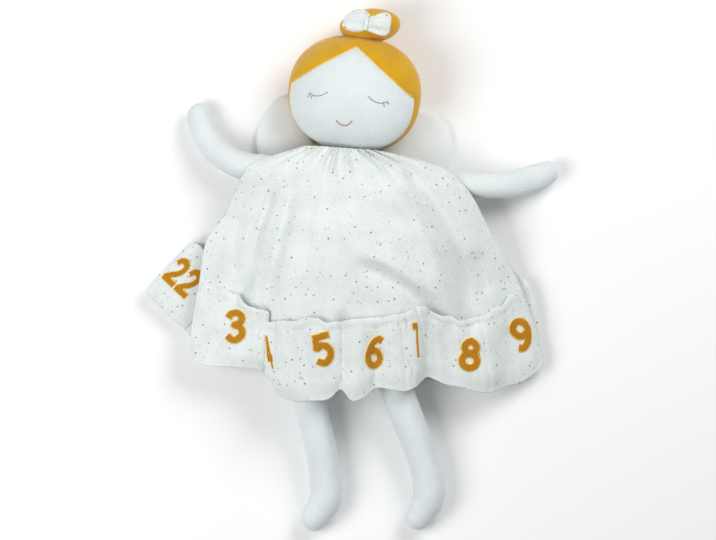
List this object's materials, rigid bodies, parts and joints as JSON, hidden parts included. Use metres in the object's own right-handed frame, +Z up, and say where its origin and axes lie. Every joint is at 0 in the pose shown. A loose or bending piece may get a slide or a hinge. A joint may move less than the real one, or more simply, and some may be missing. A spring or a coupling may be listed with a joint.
{
  "type": "cloth angel doll with pocket hem",
  "caption": "Stuffed white cloth angel doll with mustard hair, padded wings and a dress hem of numbered gift pockets.",
  "frame": {"origin": "middle of the outline, on the surface that the doll lies on", "axes": "+Z up out of the front of the doll, +Y towards the head, +X to the right of a viewer who looks down at it"},
  "size_m": [0.3825, 0.4888, 0.0845],
  "materials": {
    "cotton": "plain woven white cotton",
    "linen": "white linen with small gold specks",
    "velvet": "short mustard velvet",
    "fibre": "loose polyester filling",
    "elastic": "covered elastic cord"
  },
  "bodies": {
    "body": {"torso": "cotton", "dress_front": "linen", "dress_back": "linen", "dress_side_panel": "linen", "dress_fold_panel": "linen", "neck_elastic": "elastic", "pocket_01": "linen", "pocket_02": "linen", "pocket_03": "linen", "pocket_04": "linen", "pocket_05": "linen", "pocket_06": "linen", "pocket_07": "linen", "pocket_08": "linen", "pocket_09": "linen", "pocket_10": "linen", "pocket_11": "linen", "pocket_12": "linen", "pocket_13": "linen", "pocket_14": "linen", "pocket_15": "linen", "pocket_16": "linen", "pocket_17": "linen", "pocket_18": "linen", "pocket_19": "linen", "pocket_20": "linen", "pocket_21": "linen", "pocket_22": "linen", "pocket_23": "linen", "pocket_24": "linen"},
    "neck": {"neck": "cotton"},
    "head": {"head_filling": "fibre", "face_panel": "cotton", "hair_front": "velvet", "hair_back": "velvet", "hair_bun": "velvet", "bow_loop_left": "linen", "bow_loop_right": "linen", "bow_knot": "linen"},
    "arm_left": {"arm_left": "cotton"},
    "arm_right": {"arm_right": "cotton"},
    "leg_left": {"leg_left": "cotton"},
    "leg_right": {"leg_right": "cotton"},
    "wing_left": {"wing_left": "linen"},
    "wing_right": {"wing_right": "linen"}
  },
  "joints": [
    {"name": "neck_nod", "type": "hinge", "parent": "body", "child": "neck", "pos_m": [-0.0023, 0.0987, 0.038], "axis": [1, 0, 0], "range_deg": [0, 12]},
    {"name": "head_tilt", "type": "hinge", "parent": "neck", "child": "head", "pos_m": [-0.0023, 0.0987, 0.038], "axis": [0, 0, 1], "range_deg": [-9, 9]},
    {"name": "arm_left_swing", "type": "hinge", "parent": "body", "child": "arm_left", "pos_m": [-0.0551, 0.0897, 0.03], "axis": [0, 0, 1], "range_deg": [-35, 20]},
    {"name": "arm_right_swing", "type": "hinge", "parent": "body", "child": "arm_right", "pos_m": [0.0477, 0.0827, 0.03], "axis": [0, 0, 1], "range_deg": [-18, 35]},
    {"name": "leg_left_swing", "type": "hinge", "parent": "body", "child": "leg_left", "pos_m": [-0.0443, -0.0793, 0.03], "axis": [0, 0, 1], "range_deg": [-20, 8]},
    {"name": "leg_right_swing", "type": "hinge", "parent": "body", "child": "leg_right", "pos_m": [0.0297, -0.0793, 0.03], "axis": [0, 0, 1], "range_deg": [-8, 20]},
    {"name": "wing_left_fold", "type": "hinge", "parent": "body", "child": "wing_left", "pos_m": [-0.01126, 0.07854, 0.012], "axis": [0.1045, 0.9945, 0], "range_deg": [-60, 0]},
    {"name": "wing_right_fold", "type": "hinge", "parent": "body", "child": "wing_right", "pos_m": [0.00466, 0.07686, 0.012], "axis": [0.1045, 0.9945, 0], "range_deg": [0, 60]}
  ]
}
